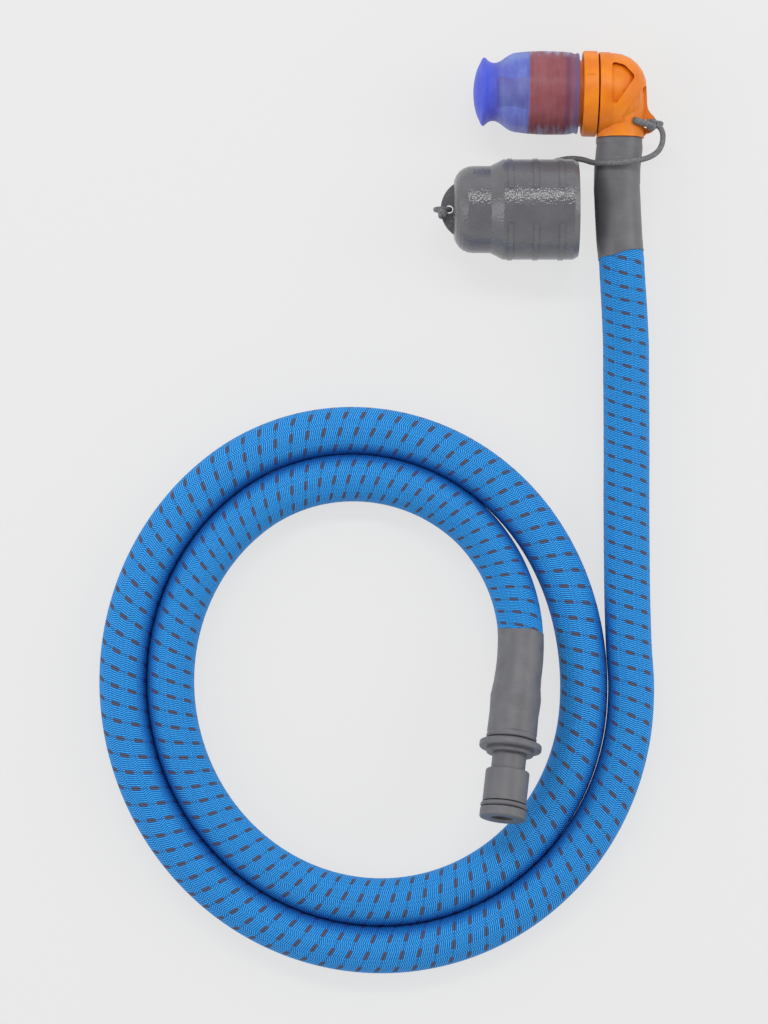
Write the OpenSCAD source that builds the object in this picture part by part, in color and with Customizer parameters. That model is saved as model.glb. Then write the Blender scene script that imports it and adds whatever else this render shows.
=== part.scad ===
// Drinking-tube assembly of a hydration system: an insulated hose in a woven cover, laid in a
// flat coil, with a bite valve on a swivel elbow at one end, a tethered dust cap beside it and
// a quick-connect plug at the other end. Millimetres. It lies on the plane z = 0, and the
// origin is under the middle of the drinking head and its cap.

/* [Hose] */
// Outer diameter of the woven cover
hose_d = 13; // [12.4:0.1:14.4]
// Outer diameter of the drinking tube inside the cover
tube_d = 9.6; // [8.8:0.1:10.4]
// Bore of the drinking tube
tube_bore = 6.4; // [6:0.1:7]
// Wall of the shrink sleeves at both ends
sleeve_wall = 0.3; // [0.2:0.05:0.8]
// Length of the sleeve under the elbow
valve_sleeve_len = 34; // [24:1:40]
// Length of the sleeve behind the plug
plug_sleeve_len = 31; // [22:1:40]
// Length of each barb inside the hose
barb_len = 16; // [10:1:18]
// Waterway through both barbs and the elbow's collar
barb_bore = 4.4; // [3:0.1:4.8]

/* [Coil] */
// Mean radius of the outer turn
coil_r = 75; // [72:0.1:76]
// How far the turns are out of round
coil_oval = 1.5; // [0:0.1:3]
// Space between neighbouring turns
coil_gap = 0.75; // [0.7:0.05:1.2]

/* [Elbow] */
// Angle between the hose and the valve
elbow_angle = 91.1; // [88:0.1:96]
// Diameter of the elbow's flange
flange_d = 24; // [22:0.1:24.6]
// Width of the flange band
flange_w = 3.2; // [2:0.1:3.6]
// Diameter of the dome behind the flange
dome_d = 23.6; // [22:0.1:23.8]
// Radius of the dome's shoulder
dome_round = 9.8; // [8:0.1:10]
// How far the dome reaches past the hose axis
dome_reach = 7.8; // [7.2:0.1:9]
// Diameter of the collar round the hose swivel
collar_d = 14.4; // [13.6:0.1:16]
// Length of the collar from the valve axis
collar_len = 12.6; // [12.2:0.1:14]
// Depth of the panels between the ribs
panel_depth = 1.1; // [0.4:0.1:1.2]
// Thickness of the tether lug
lug_t = 2; // [1.4:0.1:3]
// Hole in the tether lug
lug_hole_d = 2.7; // [2.2:0.1:3]
// Bore of the swivel socket
socket_d = 9.2; // [8.8:0.1:9.6]
// Waterway through the elbow's spigot
channel_d = 5.2; // [5:0.1:5.8]

/* [Valve] */
// Diameter of the spigot that the valve core slides on
spigot_d = 13; // [12:0.1:13.4]
// How far the valve head comes out when it opens
stroke = 4; // [2:0.1:4.2]
// How far the valve head turns while it opens
twist = 90; // [60:1:120]
// Diameter of the grip ring
ring_d = 24.6; // [24:0.1:27]
// Width of the grip ring
ring_w = 4.3; // [3.6:0.1:4.6]
// Space between the grip ring and the elbow when shut
ring_gap = 0.4; // [0.4:0.05:1]
// Diameter of the core's barrel inside the bite valve
barrel_d = 20.4; // [19.8:0.1:21]
// Length of the core's barrel
barrel_len = 14.3; // [14:0.1:16]
// Bore of the outlet nozzle
outlet_d = 5.6; // [4.8:0.1:6.2]
// Length of the outlet nozzle
nozzle_len = 9; // [6:0.1:9]
// Largest diameter of the bite valve
bite_d = 24; // [23.4:0.1:24.6]
// Length of the bite valve
bite_len = 30.4; // [30:0.1:34]
// Diameter of the bite valve's lip
lip_d = 19.6; // [18:0.1:21]
// Diameter of the waist behind the lip
waist_d = 16.8; // [15.6:0.1:17.6]
// Width of the bite slit
slit_w = 9; // [6:0.5:11]

/* [Dust cap] */
// Outer diameter at the mouth
cap_d = 28.8; // [28.2:0.1:31]
// Wall of the cap
cap_wall = 1.6; // [1.2:0.1:1.9]
// Length of the wide part
cap_body_len = 21.6; // [18:0.1:25]
// Length of the cone between the two diameters
cap_cone_len = 3.7; // [2:0.1:5]
// Length over the domed end
cap_len = 35.8; // [35:0.1:40]
// Outer diameter of the narrow end
cap_end_d = 25; // [24:0.1:26]
// Radius of the domed end's edge
cap_round = 5.5; // [3:0.1:6]
// How far the end tab stands off the dome
tab_rise = 3.7; // [3.6:0.1:5]

/* [Plug] */
// Diameter of the stop flange
stop_d = 17.9; // [16:0.1:20]
// Diameter of the step under the stop flange
step_d = 13.5; // [12.8:0.1:15]
// Diameter of the latch neck
neck_d = 9.8; // [9.6:0.1:11]
// Length of the latch neck
neck_len = 4.7; // [3:0.1:6]
// Diameter of the barrel
plug_barrel_d = 12.6; // [12.2:0.1:13]
// Length of the barrel
plug_barrel_len = 9.5; // [7:0.1:12]
// Diameter of the nose
nose_d = 13.4; // [13.2:0.1:14.4]
// Length of the nose
nose_len = 2.7; // [2.6:0.1:5]
// Bore of the plug at its nose
plug_bore = 6.4; // [6:0.1:7.6]
// How steeply the plug points up
plug_rise = 16; // [12:1:22]

/* [Tether] */
// Diameter of the tether cord
tether_d = 1.6; // [1.2:0.1:1.7]

/* [Hidden] */
$fn = 64;

// Clearances: nested hose layers, turning fits, seated pieces and O-ring grooves
layer_fit = 0.05;
running_fit = 0.06;
seat_fit = 0.05;
groove_fit = 0.1;
swivel_gap = 0.3;
cam_fit = 0.3;
outlet_fit = 0.2;

// Colours
blue = [0.15, 0.5, 0.85];
grey = [0.42, 0.42, 0.44];
orange = [0.93, 0.5, 0.15];
silicone = [0.35, 0.45, 0.85, 0.6];
seal_black = [0.15, 0.15, 0.16];

// Where things lie: the crossing of the hose and valve axes, the middle of the cap's mouth
hose_r = hose_d / 2;
sleeve_bore = hose_d + 2 * layer_fit;
sleeve_d = sleeve_bore + 2 * sleeve_wall;
elbow_at = [20.3, 17.8, ring_d / 2];
cap_at = [8.3, -15.6, cap_d / 2];

// Stations along the hose axis, measured down from the valve axis
barb_flange_t = 1.2;
barb_top = 3.6;
socket_top = 3.2;
barb_flange_at = collar_len + swivel_gap;
hose_start = barb_flange_at + barb_flange_t;
socket_r = socket_d / 2;
clip_at = 9;
clip_t = 1;
clip_bite = 0.5;
clip_gap_angle = 40;
swivel_seal_at = 6;
swivel_seal_d = 1;

// Stations along the valve axis, measured from the hose axis towards the mouth
flange_face = 6.1;
ring_start = flange_face + ring_gap;
ring_end = ring_start + ring_w;
core_neck_len = 1;
core_neck_d = 19;
core_hub_d = 18;
core_edge = 0.5;
bite_start = ring_end + core_neck_len;
barrel_end = bite_start + barrel_len;
front_wall_t = 1.9;
spigot_front_gap = 0.5;
spigot_end = barrel_end - front_wall_t - spigot_front_gap;
spigot_tip_len = 3;
spigot_tip_d = 10;
spigot_wall_t = 1.4;
port_d = 1.8;
port_step = 1.2;
port_at = spigot_end - spigot_wall_t - port_step;
tip_seal_len = 3.4;
tip_seal_round = 1.2;
nozzle_base_t = 2.2;
nozzle_waist_t = 1;
nozzle_tip_t = 2;
nozzle_hollow = 3;
nozzle_edge = 0.6;
nozzle_end = barrel_end + nozzle_len;
bite_end = bite_start + bite_len;
cam_pin_d = 1.8;
cam_pin_height = 0.9;
cam_slot_steps = 10;
cam_margin = 1.6;
cam_at = ring_start + stroke + cam_margin;
core_seal_d = 1.3;
core_seal_step = 4;
core_seal_at = cam_at + core_seal_step;
ring_inner_edge = 0.5;
ring_outer_edge = 0.7;
mark_angle = 21;
mark_len = 1.7;
mark_w = 0.5;
mark_rise = 0.2;

// Outline of the bite valve: its wall, the bead at its foot, where it is widest, its shoulder,
// waist and lip, with the roundings between them
bite_wall = 1.7;
bite_bead_wall = 1.35;
bite_bead_len = 0.7;
bite_bead_round = 0.2;
bite_foot_wall = 1.05;
bite_foot_len = 0.9;
bite_belly_len = 13;
bite_tip_len = 6.9;
bite_belly_at = bite_start + bite_belly_len;
bite_belly_round = 10;
bite_waist_at = bite_end - bite_tip_len;
bite_shoulder = [0.3, 3];
bite_shoulder_round = 1.8;
bite_waist_round = 2;
lip_step = 3.2;
lip_at = bite_waist_at + lip_step;
lip_round = 0.8;
lip_front = [2.4, 0.4];
lip_front_round = 3;
lip_t = 2.6;
bite_inner_round = 1.5;
slit_t = 0.3;
slit_depth = 7;

// Panels of the elbow, seen from above, from the crossing of the axes
upper_panel = [[-2.7, 8.4, 0.8], [0.9, 7.5, 2.5], [4, 4.2, 1.2], [-1.4, -4, 0.7], [-2.7, -3.4, 0.6]];
lower_panel = [[7, 2, 1], [-0.5, -8.4, 0.9], [9, -8.4], [9, 2]];
lug_at = [7.9, -8.5];
lug_wall = 1.45;
lug_root = [4, 2];
lug_bend = [0.3, -4.6, 4];
lug_flare = [0.5, 1.8];
flange_edge = 0.3;

// The hose leaves the valve sleeve, comes down to the table and runs to the coil
run_points = [
  [21, -42, 10.4],
  [21.9, -56, 8.3],
  [22.5, -70, 7],
  [22.8, -84, hose_r],
  [22.8, -100, hose_r],
  [22.9, -116, hose_r],
  [23.1, -130, hose_r],
  [23.5, -142, hose_r]
];

// The coil: turns that step in by one pitch in the last third of each turn
coil_right = 25.5;
coil_at = [coil_right - coil_r, -153.1, hose_r];
coil_pitch = hose_d + coil_gap;
coil_turns = 648 / 360;
coil_rings_per_turn = 30;
oval_angle = 77;
step_from = 233;
step_to = 364;

// The plug's lead: an arc that lifts the hose off the table, then a straight stretch in the sleeve
plug_at = [-10.9, -166.4];
plug_heading = 7;
lead_heading = 42;
lead_r = 46;
lead_straight = 22;
lead_rings = 6;
hose_sides = 12;

// Stations along the plug's axis, measured from the end of the hose
rim_t = 2.4;
stop_t = 2.1;
step_t = 1.4;
plug_seal_d = 1.5;
plug_seal_groove_w = 1.9;
stop_end = rim_t + stop_t;
step_end = stop_end + step_t;
neck_end = step_end + neck_len;
plug_barrel_end = neck_end + plug_barrel_len;
nose_start = plug_barrel_end + plug_seal_groove_w;
nose_end = nose_start + nose_len;
nose_round = 0.5;
plug_edge = 0.6;
plug_lip_round = 0.2;
plug_bore_len = 12;
plug_bore_chamfer = 0.4;
plug_bore_cone = 1.5;

// The bevelled lip of the cap's mouth, the tab on its end with a hole near the edge, and the ribs
// on its flanks
cap_lip = [0.8, 1.5];
tab_half_width = 7.2;
tab_edge = 1.2;
tab_t = 2;
tab_hole_d = 2.4;
tab_r = (tab_half_width * tab_half_width + tab_rise * tab_rise) / (2 * tab_rise);
tab_tip = cap_at[0] - cap_len - tab_rise;
cap_bend_round = 1.2;
cap_rib_count = 3;
cap_rib_first = 5.1;
cap_rib_margin = 1.9;
cap_rib_last = cap_body_len - cap_rib_margin;
cap_rib_h = 0.25;
cap_rib_root = 0.4;
cap_rib_w = 1.4;
cap_rib_angle = 70;

// The tether: round the collar, over the sleeve, down beside the cap and along the table to its tab
tether_sides = 8;
knot_r = 1.9;
stub_len = 5.6;
stub_turn = [0, -54, -9];
lug_loop_r = lug_wall / 2 + lug_hole_d / 2;
lug_loop_at = elbow_at + [lug_at[0] + lug_loop_r, lug_at[1], 0];
lug_knot_step = [1.2, -0.4, 1];
lug_knot_at = elbow_at + [lug_at[0], lug_at[1], lug_t / 2 + tether_d] + lug_knot_step;
cap_loop_r = norm([tab_edge, tab_t]) / 2 + tether_d / 2 + seat_fit;
cap_loop_at = [tab_tip + tab_edge / 2, cap_at[1], cap_at[2]];
cap_knot_step = [-0.1, -1.2, 1];
cap_knot_at = cap_loop_at + [0, 0, cap_loop_r] + cap_knot_step;
tether_points = [
  [32.1, 8.3, 15.5],
  [32.5, 6.6, 15.3],
  [32.6, 4.2, 15.4],
  [31.5, 1.4, 16.6],
  [29, -0.7, 18.4],
  [26, -1.8, 19.9],
  [22.6, -2.4, 20.6],
  [19, -2.7, 20.7],
  [15.9, -2.7, 19.5],
  [13.3, -2.4, 16.8],
  [11.9, -1.8, 13.6],
  [10.3, -1, 11.2],
  [8.2, -0.5, 9.9],
  [5.5, -0.4, 8.7],
  [2.8, -0.8, 7.1],
  [0.2, -1.5, 5.3],
  [-2.6, -2.1, 3.7],
  [-6, -2.5, 2.2],
  [-10, -2.6, 1.3],
  [-15, -3, 0.9],
  [-20, -4.2, 0.9],
  [-24.2, -6.4, 1.1],
  [-27.6, -9.4, 1.9],
  [-29.7, -12.6, 4.1],
  [-30.5, -14.9, 7.4],
  [-30.6, -15.6, 11.1]
];

// Vectors and lists
function unit(v) = v / norm(v);
function reversed(list) = [for (i = [len(list) - 1:-1:0]) list[i]];
function flat_heading(angle) = [sin(angle), -cos(angle), 0];
function smooth(t) = let (c = min(1, max(0, t))) c * c * (3 - 2 * c);

// A polygon whose corners [x, y, radius] are rounded
function corner(a, b, c, r, steps = 6) =
  let (
    u = unit(a - b),
    v = unit(c - b),
    half = acos(u * v) / 2,
    from = b + u * r / tan(half),
    to = b + v * r / tan(half),
    centre = b + unit(u + v) * r / sin(half),
    start = atan2(from[1] - centre[1], from[0] - centre[0]),
    end = atan2(to[1] - centre[1], to[0] - centre[0]),
    turn = end - start > 180 ? end - start - 360 : end - start < -180 ? end - start + 360 : end - start
  )
  [for (i = [0:steps]) centre + r * [cos(start + turn * i / steps), sin(start + turn * i / steps)]];
function rounded(points) = [
  for (i = [0:len(points) - 1])
    let (
      n = len(points),
      a = points[(i + n - 1) % n],
      b = points[i],
      c = points[(i + 1) % n]
    )
    each (len(b) == 2 ? [b] : corner([a[0], a[1]], [b[0], b[1]], [c[0], c[1]], b[2]))
];

// The hose's route
function coil_radius(angle) =
  let (step = (angle - step_from) / (step_to - step_from), turn = 360 / (step_to - step_from))
  coil_r + coil_oval * cos(2 * (angle - oval_angle)) - coil_pitch * (smooth(step) + smooth(step - turn));
function coil_point(angle) = coil_at + coil_radius(angle) * [cos(angle), -sin(angle), 0];
plug_axis = cos(plug_rise) * flat_heading(-plug_heading) + [0, 0, sin(plug_rise)];
lead_start = flat_heading(lead_heading);
lead_angle = acos(plug_axis * lead_start);
lead_side = unit(lead_start - plug_axis * cos(lead_angle));
function lead_back(s) =
  let (straight = min(s, lead_straight), angle = (s - straight) / lead_r * 180 / PI)
  -straight * plug_axis - lead_r * (plug_axis * sin(angle) + lead_side * (1 - cos(angle)));
lead_len = lead_straight + lead_r * lead_angle * PI / 180;
plug_end = [plug_at[0], plug_at[1], hose_r - lead_back(lead_len)[2]];
function in_lead(s) = plug_end + lead_back(s);
sleeve_lead = [for (i = [0:4]) in_lead(plug_sleeve_len * (4 - i) / 4)];
free_lead = [
  for (i = [0:lead_rings - 1]) in_lead(lead_len + (plug_sleeve_len - lead_len) * i / lead_rings)
];
function down_hose(s) = elbow_at + [0, -s, 0];
valve_lead = [for (i = [0:2]) down_hose(hose_start + valve_sleeve_len * i / 2)];
coil_steps = coil_turns * coil_rings_per_turn;
coil_points = [for (i = [0:coil_steps]) coil_point(i * 360 / coil_rings_per_turn)];
run_count = len(valve_lead) + len(run_points);
hose_route = concat(valve_lead, run_points, coil_points, free_lead, sleeve_lead);

// Least gap of the coiled hose to itself, measured between points at least half a turn apart
apart = coil_rings_per_turn / 2;
coiled = [for (i = [run_count - 4:len(hose_route) - 1]) hose_route[i]];
least_gap = min([
  for (i = [0:len(coiled) - 1 - apart], j = [i + apart:len(coiled) - 1])
    norm(coiled[i] - coiled[j]) - hose_d
]);
echo("least gap of the coil to itself, mm", least_gap);

// A tube swept along a path. Its flats touch the circles of the two diameters, so what is round
// fits inside, and the tangents at its ends can be given
function tangent(path, i) = unit(path[min(i + 1, len(path) - 1)] - path[max(i - 1, 0)]);
function ring(at, along, r, sides) =
  let (side = unit(cross(along, [0, 0, 1])), up = cross(side, along), vertex_r = r / cos(180 / sides))
  [for (j = [0:sides - 1])
    at + vertex_r * (cos((j + 0.5) * 360 / sides) * side + sin((j + 0.5) * 360 / sides) * up)];
function skin(rows, sides, base, inward) = [
  for (i = [0:rows - 2], j = [0:sides - 1])
    let (
      a = base + i * sides + j,
      b = base + i * sides + (j + 1) % sides,
      c = b + sides,
      d = a + sides
    )
    each (inward ? [[a, c, b], [a, d, c]] : [[a, b, c], [a, c, d]])
];
module sweep(path, tangents, outer_d, inner_d = 0, sides = hose_sides) {
  rows = len(path);
  outer = [for (i = [0:rows - 1]) each ring(path[i], tangents[i], outer_d / 2, sides)];
  inner = inner_d == 0
    ? [path[0], path[rows - 1]]
    : [for (i = [0:rows - 1]) each ring(path[i], tangents[i], inner_d / 2, sides)];
  total = rows * sides;
  last = total - sides;
  ends = inner_d == 0
    ? [for (j = [0:sides - 1])
        each [[total, (j + 1) % sides, j], [total + 1, last + j, last + (j + 1) % sides]]]
    : [for (j = [0:sides - 1], k = [0, 1])
        let (a = k * last + j, b = k * last + (j + 1) % sides)
        each (k == 0
          ? [[a, a + total, b], [b, a + total, b + total]]
          : [[a, b, a + total], [b, b + total, a + total]])];
  walls = concat(skin(rows, sides, 0, false), inner_d == 0 ? [] : skin(rows, sides, total, true));
  polyhedron(points = concat(outer, inner), faces = concat(walls, ends));
}
route_tangents = [for (i = [0:len(hose_route) - 1]) tangent(hose_route, i)];
module along_hose(from, to, outer_d, inner_d) {
  path = [for (i = [from:to]) hose_route[i]];
  tangents = [for (i = [from:to]) route_tangents[i]];
  sweep(path, tangents, outer_d, inner_d);
}

// Frames of the valve, the hose swivel, the cap and the plug: each draws along +Z
module in_valve() {
  translate(elbow_at) rotate([0, 0, 90 - elbow_angle]) rotate([0, -90, 0]) children();
}
module in_swivel() {
  translate(elbow_at) rotate([90, 0, 0]) children();
}
module in_cap() {
  translate(cap_at) rotate([0, -90, 0]) children();
}
module in_plug() {
  translate(plug_end) rotate([0, 0, -plug_heading]) rotate([90 - plug_rise, 0, 0]) children();
}
module lathe(points) {
  rotate_extrude() polygon(rounded(points));
}
module o_ring(inner_d, section_d, at) {
  translate([0, 0, at]) rotate_extrude() translate([inner_d / 2 + section_d / 2, 0]) circle(d = section_d);
}

// Barb teeth inside the hose, as points of a lathe profile, from the tip to the root
barb_root_d = 5.4;
barb_teeth = 3;
barb_edge = 0.4;
barb_tip_d = tube_bore - 2 * layer_fit;
function barb_profile(tip, root) = [
  for (i = [0:barb_teeth - 1])
    let (
      pitch = (root - tip) / (barb_teeth + 1),
      from = tip + i * pitch
    )
    each [[barb_root_d / 2, from], [barb_tip_d / 2, from + pitch], [barb_root_d / 2, from + pitch]]
];

module hose_cover_run() {
  color(blue) along_hose(0, run_count, hose_d, tube_d + 2 * layer_fit);
}

module hose_cover_coil() {
  color(blue) along_hose(run_count, len(hose_route) - 1, hose_d, tube_d + 2 * layer_fit);
}

module inner_tube() {
  color("white") along_hose(0, len(hose_route) - 1, tube_d, tube_bore);
}

module valve_sleeve() {
  color(grey) along_hose(0, len(valve_lead) - 1, sleeve_d, sleeve_bore);
}

module plug_sleeve() {
  last = len(hose_route) - 1;
  first = last - len(sleeve_lead) + 1;
  color(grey) along_hose(first, last, sleeve_d, sleeve_bore);
}

module swivel_barb() {
  head_r = socket_r - running_fit;
  seal_r = socket_r - swivel_seal_d - 2 * seat_fit;
  clip_r = head_r - clip_bite;
  color(grey) in_swivel() lathe(concat(
    [
      [barb_bore / 2, barb_top],
      [head_r, barb_top, barb_edge],
      [head_r, swivel_seal_at - swivel_seal_d / 2 - groove_fit],
      [seal_r, swivel_seal_at - swivel_seal_d / 2 - groove_fit],
      [seal_r, swivel_seal_at + swivel_seal_d / 2 + groove_fit],
      [head_r, swivel_seal_at + swivel_seal_d / 2 + groove_fit],
      [head_r, clip_at - groove_fit],
      [clip_r, clip_at - groove_fit],
      [clip_r, clip_at + clip_t + groove_fit],
      [head_r, clip_at + clip_t + groove_fit],
      [head_r, barb_flange_at],
      [hose_r, barb_flange_at],
      [hose_r, hose_start],
      [barb_root_d / 2, hose_start]
    ],
    reversed(barb_profile(hose_start + barb_len, hose_start)),
    [[barb_bore / 2, hose_start + barb_len]]
  ));
}

module swivel_o_ring() {
  color(seal_black) in_swivel()
    o_ring(socket_d - 2 * (seat_fit + swivel_seal_d), swivel_seal_d, swivel_seal_at);
}

module swivel_clip() {
  inner_r = socket_r - running_fit - clip_bite + groove_fit;
  color("silver") in_swivel() translate([0, 0, clip_at])
    rotate_extrude(angle = 360 - clip_gap_angle)
      translate([inner_r, 0])
        square([socket_r + clip_bite - inner_r, clip_t]);
}

// Drum and dome of the elbow, drawn in by inset where the panels are
module elbow_drum(inset) {
  dome_r = dome_d / 2 - inset;
  reach = dome_reach - inset;
  flange_r = flange_d / 2 - inset;
  shoulder = flange_face - flange_w;
  lathe([
    [0, flange_face],
    [flange_r, flange_face, flange_edge],
    [flange_r, shoulder],
    [dome_r, shoulder],
    [dome_r, -reach, min(dome_round - inset, reach + shoulder - flange_edge)],
    [0, -reach]
  ]);
}

// Collar round the hose swivel, no further forward than the flange's face
module elbow_collar() {
  intersection() {
    in_swivel() cylinder(d = collar_d, h = collar_len);
    in_valve() translate([0, 0, -collar_d]) cylinder(r = 2 * collar_len, h = collar_d + flange_face);
  }
}

module lug() {
  lug_r = lug_hole_d / 2 + lug_wall;
  linear_extrude(lug_t, center = true) {
    translate(lug_at) circle(r = lug_r);
    polygon(rounded([
      lug_root,
      [dome_reach, lug_root[1]],
      [dome_reach, 0, 0] + lug_bend,
      lug_at + [lug_r - lug_flare[0], lug_flare[1]],
      lug_at + [0, -lug_r],
      [collar_d / 2 - lug_flare[0], -collar_len],
      [lug_root[0], -collar_len]
    ]));
  }
}

module elbow_panels() {
  difference() {
    translate(elbow_at) rotate([0, 0, 90 - elbow_angle]) {
      linear_extrude(2 * flange_d, center = true) polygon(rounded(upper_panel));
      linear_extrude(2 * flange_d, center = true) polygon(rounded(lower_panel));
    }
    in_valve() elbow_drum(panel_depth);
    elbow_collar();
    translate(elbow_at) lug();
  }
}

// Spigot that the valve core slides on, with its two cam pins
module spigot() {
  cylinder(d = spigot_d, h = spigot_end - spigot_tip_len);
  cylinder(d = spigot_tip_d, h = spigot_end);
  for (turn = [0, 180])
    rotate(turn) translate([0, 0, cam_at]) rotate([0, 90, 0])
      cylinder(d = cam_pin_d, h = spigot_d / 2 + cam_pin_height);
}

module elbow() {
  color(orange) difference() {
    union() {
      in_valve() elbow_drum(0);
      in_valve() spigot();
      elbow_collar();
      translate(elbow_at) lug();
    }
    elbow_panels();
    translate(elbow_at + [lug_at[0], lug_at[1], 0]) cylinder(d = lug_hole_d, h = 2 * lug_t, center = true);
    in_swivel() {
      cylinder(d = barb_bore, h = collar_len);
      translate([0, 0, socket_top]) cylinder(d = socket_d, h = collar_len);
      translate([0, 0, clip_at - groove_fit])
        cylinder(r = socket_r + clip_bite + groove_fit, h = clip_t + 2 * groove_fit);
    }
    in_valve() {
      translate([0, 0, -channel_d / 2])
        cylinder(d = channel_d, h = spigot_end - spigot_wall_t + channel_d / 2);
      for (turn = [45:90:315])
        rotate(turn) translate([0, 0, port_at]) rotate([0, 90, 0]) cylinder(d = port_d, h = spigot_d);
    }
  }
}

module tip_seal() {
  seal_r = outlet_d / 2 - outlet_fit;
  color(seal_black) in_valve() lathe([
    [0, spigot_end],
    [seal_r, spigot_end],
    [seal_r, spigot_end + tip_seal_len, tip_seal_round],
    [0, spigot_end + tip_seal_len]
  ]);
}

module tether() {
  color(grey)
    sweep(tether_points, [for (i = [0:len(tether_points) - 1]) tangent(tether_points, i)],
      tether_d, sides = tether_sides);
}

// A cord loop round a bar, with the knot that closes it
module cord_loop(loop_r) {
  rotate_extrude() translate([loop_r, 0]) circle(d = tether_d - 2 * seat_fit);
}

module lug_knot() {
  color(grey) {
    translate(lug_loop_at) rotate([90, 0, 0]) cord_loop(lug_loop_r);
    translate(lug_knot_at) sphere(r = knot_r);
    translate(lug_knot_at) rotate(stub_turn) cylinder(d = tether_d, h = stub_len);
  }
}

module core_o_ring() {
  color(seal_black) in_valve() o_ring(spigot_d + 2 * seat_fit, core_seal_d, core_seal_at);
}

module valve_core() {
  bore_r = spigot_d / 2 + running_fit;
  seal_r = spigot_d / 2 + core_seal_d + 2 * seat_fit;
  seal_from = core_seal_at - core_seal_d / 2 - groove_fit;
  seal_to = core_seal_at + core_seal_d / 2 + groove_fit;
  outlet_r = outlet_d / 2;
  barrel_r = barrel_d / 2;
  color(orange) in_valve() difference() {
    lathe([
      [bore_r, ring_start],
      [core_hub_d / 2, ring_start],
      [core_hub_d / 2, ring_end],
      [core_neck_d / 2, ring_end],
      [core_neck_d / 2, bite_start],
      [barrel_r, bite_start],
      [barrel_r, barrel_end, core_edge],
      [outlet_r + nozzle_base_t, barrel_end, core_edge],
      [outlet_r + nozzle_waist_t, (barrel_end + nozzle_end) / 2, nozzle_hollow],
      [outlet_r + nozzle_tip_t, nozzle_end, nozzle_edge],
      [outlet_r, nozzle_end],
      [outlet_r, barrel_end - front_wall_t],
      [bore_r, barrel_end - front_wall_t],
      [bore_r, seal_to],
      [seal_r, seal_to],
      [seal_r, seal_from],
      [bore_r, seal_from]
    ]);
    for (turn = [0, 180], i = [0:cam_slot_steps])
      rotate(turn - twist * i / cam_slot_steps)
        translate([0, 0, cam_at - stroke * i / cam_slot_steps])
          rotate([0, 90, 0])
            cylinder(d = cam_pin_d + 2 * cam_fit, h = spigot_d / 2 + cam_pin_height + cam_fit);
  }
}

module twist_ring() {
  inner_r = core_hub_d / 2 + seat_fit;
  ring_r = ring_d / 2;
  color(orange) in_valve() {
    lathe([
      [inner_r, ring_start],
      [ring_r, ring_start, ring_inner_edge],
      [ring_r, ring_end, ring_outer_edge],
      [inner_r, ring_end - seat_fit]
    ]);
    rotate(mark_angle) translate([ring_r - mark_w, -mark_w / 2, (ring_start + ring_end - mark_len) / 2])
      cube([mark_w + mark_rise, mark_w, mark_len]);
  }
}

module bite_valve() {
  inner_r = barrel_d / 2 + seat_fit;
  bite_r = bite_d / 2;
  waist_r = waist_d / 2;
  shoulder_r = bite_r - bite_shoulder[0];
  foot = bite_start + seat_fit;
  color(silicone) in_valve() difference() {
    lathe([
      [inner_r, foot],
      [inner_r + bite_bead_wall, foot, bite_bead_round],
      [inner_r + bite_bead_wall, bite_start + bite_bead_len, bite_bead_round],
      [inner_r + bite_foot_wall, bite_start + bite_foot_len],
      [bite_r, bite_belly_at, bite_belly_round],
      [shoulder_r, bite_waist_at - bite_shoulder[1], bite_shoulder_round],
      [waist_r, bite_waist_at, bite_waist_round],
      [lip_d / 2, lip_at, lip_round],
      [lip_d / 2 - lip_front[0], bite_end - lip_front[1], lip_front_round],
      [0, bite_end],
      [0, bite_end - lip_t],
      [waist_r - bite_wall - lip_front[1], bite_end - lip_t - lip_front[1], bite_inner_round],
      [waist_r - bite_wall, bite_waist_at, bite_inner_round],
      [shoulder_r - bite_wall, bite_waist_at - bite_shoulder[1] - lip_front[1], bite_inner_round],
      [inner_r - core_edge, barrel_end + core_edge],
      [inner_r, barrel_end]
    ]);
    translate([0, 0, bite_end]) cube([slit_t, slit_w, slit_depth], center = true);
  }
}

// The cap's outer and inner outlines differ by its wall
module cap_shape(inset, mouth) {
  lathe([
    [0, mouth],
    [cap_d / 2 - inset - cap_lip[0], mouth],
    [cap_d / 2 - inset, mouth + cap_lip[1]],
    [cap_d / 2 - inset, cap_body_len - inset / 2, cap_bend_round],
    [cap_end_d / 2 - inset, cap_body_len + cap_cone_len - inset / 2, cap_bend_round],
    [cap_end_d / 2 - inset, cap_len - inset, cap_round - inset],
    [0, cap_len - inset]
  ]);
}

module cap_ribs() {
  rib_step = (cap_rib_last - cap_rib_first) / (cap_rib_count - 1);
  for (i = [0:cap_rib_count - 1], side = [90, 270])
    translate([0, 0, cap_rib_first + i * rib_step - cap_rib_w / 2]) rotate(side - cap_rib_angle)
      rotate_extrude(angle = 2 * cap_rib_angle)
        translate([cap_d / 2 - cap_rib_root, 0]) square([cap_rib_root + cap_rib_h, cap_rib_w]);
}

// A disc's edge that stands out of the cap's end
module cap_tab() {
  tab_depth = tab_rise + cap_wall / 2;
  difference() {
    intersection() {
      translate([tab_tip + tab_r, cap_at[1], cap_at[2]]) cylinder(r = tab_r, h = tab_t, center = true);
      translate([tab_tip, cap_at[1] - tab_r, 0]) cube([tab_depth, 2 * tab_r, cap_d]);
    }
    translate([tab_tip + tab_edge + tab_hole_d / 2, cap_at[1], cap_at[2]])
      cylinder(d = tab_hole_d, h = 2 * tab_t, center = true);
  }
}

module dust_cap() {
  color(grey) {
    in_cap() {
      difference() {
        cap_shape(0, 0);
        cap_shape(cap_wall, -2 * cap_lip[1]);
      }
      cap_ribs();
    }
    cap_tab();
  }
}

module cap_knot() {
  color(grey) {
    translate(cap_loop_at) rotate([90, 0, 0]) cord_loop(cap_loop_r);
    translate(cap_knot_at) sphere(r = knot_r);
  }
}

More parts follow.
